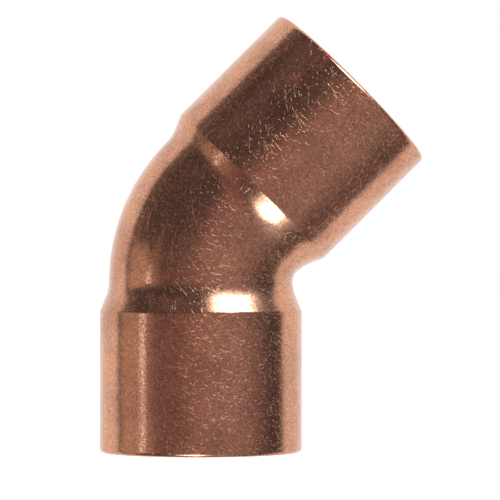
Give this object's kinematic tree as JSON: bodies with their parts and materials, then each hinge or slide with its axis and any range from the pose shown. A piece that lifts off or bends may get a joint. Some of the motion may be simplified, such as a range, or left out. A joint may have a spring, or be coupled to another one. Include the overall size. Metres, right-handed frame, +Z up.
{
  "type": "pipe elbow",
  "caption": "Copper solder-joint pipe elbow: a short tube with a shallow bend, opened out at both ends into plain sockets for pipe.",
  "frame": {"origin": "centre of the lower socket's mouth, in the plane of its rim", "axes": "+Z up the lower socket's axis, into the elbow; +X towards the side that the upper socket leans to; the XZ plane is the elbow's plane of symmetry, and +Y goes through it"},
  "size_m": [0.0385, 0.0242, 0.0519],
  "materials": {
    "copper": "tumbled satin copper"
  },
  "bodies": {
    "root": {"elbow": "copper"}
  },
  "joints": []
}
